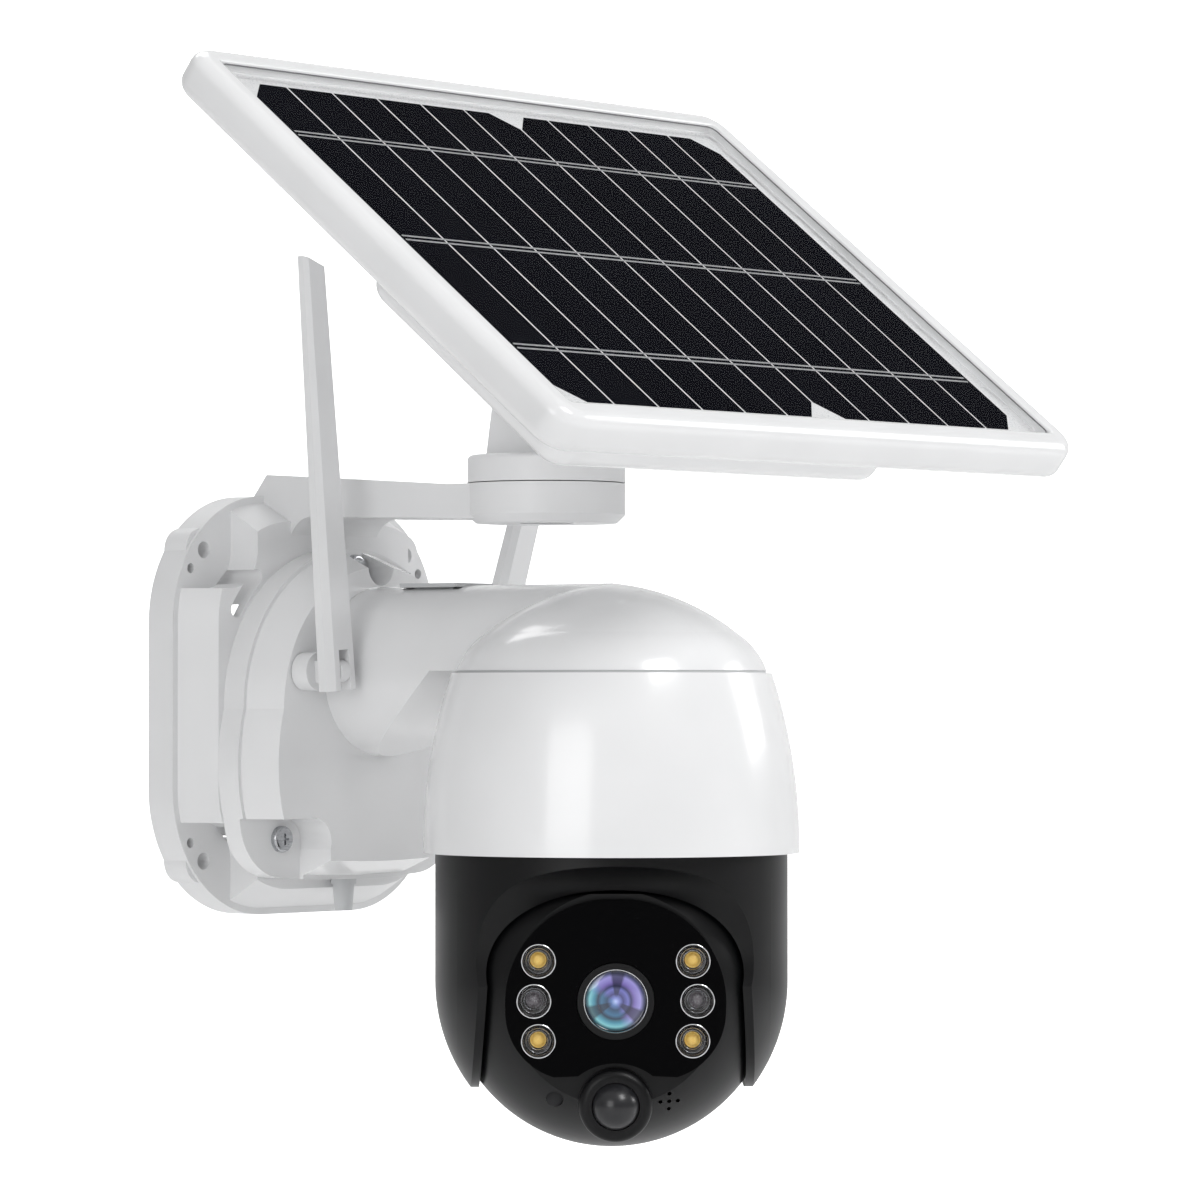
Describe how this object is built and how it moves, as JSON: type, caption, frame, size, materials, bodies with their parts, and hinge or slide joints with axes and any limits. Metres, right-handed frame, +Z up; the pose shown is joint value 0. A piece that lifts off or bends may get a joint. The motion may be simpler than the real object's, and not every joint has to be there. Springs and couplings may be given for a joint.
{
  "type": "solar security camera",
  "caption": "Wall-mounted solar security camera: tilting solar panel with battery box above a pan and tilt ball camera with lamp ring, fold-out antennas.",
  "frame": {"origin": "on the wall plane, at the centre of the wall screw pattern", "axes": "+Z up, -Y away from the wall towards the dome, +X to the right seen from behind the wall; +Y into the wall"},
  "size_m": [0.237, 0.2109, 0.3097],
  "materials": {
    "white_gloss": "glossy white ABS",
    "white_satin": "fine satin white ABS",
    "black_satin": "satin black polycarbonate",
    "black_gloss": "gloss black acrylic",
    "silicon": "mono-crystalline silicon with printed fingers",
    "ribbon": "tinned copper ribbon",
    "backsheet": "speckled laminate",
    "clear_glass": "clear tempered glass",
    "lens_glass": "coated optical glass",
    "steel": "zinc plated steel",
    "chrome": "bright metallised plastic",
    "rubber": "moulded rubber",
    "circuit": "solder mask",
    "motor_metal": "pressed steel can",
    "battery_wrap": "shrink wrap",
    "phosphor": "amber phosphor under clear resin",
    "ir_resin": "clear resin over a dark chip",
    "gear_plastic": "natural acetal",
    "brass": "turned brass",
    "smoke": "smoky polyethylene",
    "bearing": "ground bearing steel"
  },
  "bodies": {
    "base": {"wall_bracket": "white_satin", "swivel_bolt": "steel", "swivel_nut": "steel", "arm_housing": "white_gloss", "base_lid": "white_satin", "base_seal": "rubber", "base_screws": "steel", "card_cover": "rubber", "cap_screw": "steel", "cable_gland": "rubber", "dome_shell": "white_gloss", "dome_gasket": "rubber", "motor_plate": "white_satin", "pan_bearing": "bearing", "pan_motor": "motor_metal", "main_board": "circuit", "antenna_sockets": "brass"},
    "swivel": {"panel_swivel": "white_satin", "tilt_bolt": "steel", "tilt_nut": "steel"},
    "panel": {"solar_frame": "white_gloss", "solar_glass": "clear_glass", "solar_backsheet": "backsheet", "solar_cells": "silicon", "cell_ribbons": "ribbon", "battery_box": "white_gloss", "tilt_bracket": "white_satin", "battery_cells": "battery_wrap", "charge_board": "circuit", "box_screws": "steel"},
    "head": {"yoke": "black_satin", "yoke_cover_left": "black_satin", "yoke_cover_right": "black_satin", "pan_spindle": "steel", "retaining_ring": "steel", "pan_gear": "gear_plastic", "tilt_motor": "motor_metal"},
    "camera": {"camera_front_shell": "black_satin", "camera_rear_shell": "black_satin", "face_plate": "black_gloss", "lens_barrel": "black_satin", "lens_ring": "chrome", "lens_glass": "lens_glass", "image_sensor_board": "circuit", "led_board": "circuit", "lamp_cups": "chrome", "white_leds": "phosphor", "infrared_leds": "ir_resin", "pir_lens": "smoke", "pir_sensor": "motor_metal", "speaker": "black_satin", "microphone": "rubber", "tilt_pivots": "steel", "tilt_gear": "gear_plastic"},
    "pan_pinion": {"pan_pinion": "brass"},
    "tilt_pinion": {"tilt_pinion": "brass"},
    "left_collar": {"left_antenna_collar": "white_satin"},
    "left_blade": {"left_antenna_blade": "white_satin"},
    "right_collar": {"right_antenna_collar": "white_satin"},
    "right_blade": {"right_antenna_blade": "white_satin"}
  },
  "joints": [
    {"name": "panel_turn", "type": "hinge", "parent": "base", "child": "swivel", "pos_m": [0, -0.1046, 0.0645], "axis": [0, 0, 1], "range_deg": [-40, 40]},
    {"name": "panel_tilt", "type": "hinge", "parent": "swivel", "child": "panel", "pos_m": [0, -0.1046, 0.09], "axis": [1, 0, 0], "range_deg": [-28, 17]},
    {"name": "head_pan", "type": "hinge", "parent": "base", "child": "head", "pos_m": [0, -0.1291, -0.0386], "axis": [0, 0, 1], "range_deg": [-128, 226]},
    {"name": "head_tilt", "type": "hinge", "parent": "head", "child": "camera", "pos_m": [0, -0.1291, -0.079], "axis": [0.66, -0.7513, 0], "range_deg": [-10, 75]},
    {"name": "pan_pinion_spin", "type": "hinge", "parent": "base", "child": "pan_pinion", "pos_m": [0, -0.1003, -0.037], "axis": [0, 0, 1], "range_deg": [-1135, 645]},
    {"name": "tilt_pinion_spin", "type": "hinge", "parent": "head", "child": "tilt_pinion", "pos_m": [0.02838, -0.1614, -0.0622], "axis": [0.66, -0.7513, 0], "range_deg": [-230, 35]},
    {"name": "left_antenna_turn", "type": "hinge", "parent": "base", "child": "left_collar", "pos_m": [-0.0339, -0.0505, 0.01], "axis": [0, 1, 0], "range_deg": [-80, 5]},
    {"name": "right_antenna_turn", "type": "hinge", "parent": "base", "child": "right_collar", "pos_m": [0.0339, -0.0505, 0.01], "axis": [0, 1, 0], "range_deg": [-20, 65]},
    {"name": "left_antenna_fold", "type": "hinge", "parent": "left_collar", "child": "left_blade", "pos_m": [-0.0339, -0.0529, 0.01], "axis": [0.9957, 0, 0.0924], "range_deg": [0, 15]},
    {"name": "right_antenna_fold", "type": "hinge", "parent": "right_collar", "child": "right_blade", "pos_m": [0.0339, -0.0529, 0.01], "axis": [0.9397, 0, -0.342], "range_deg": [0, 15]}
  ],
  "couplings": [
    {"joint": "pan_pinion_spin", "follows": "head_pan", "ratio": -5},
    {"joint": "tilt_pinion_spin", "follows": "head_tilt", "ratio": -3}
  ]
}
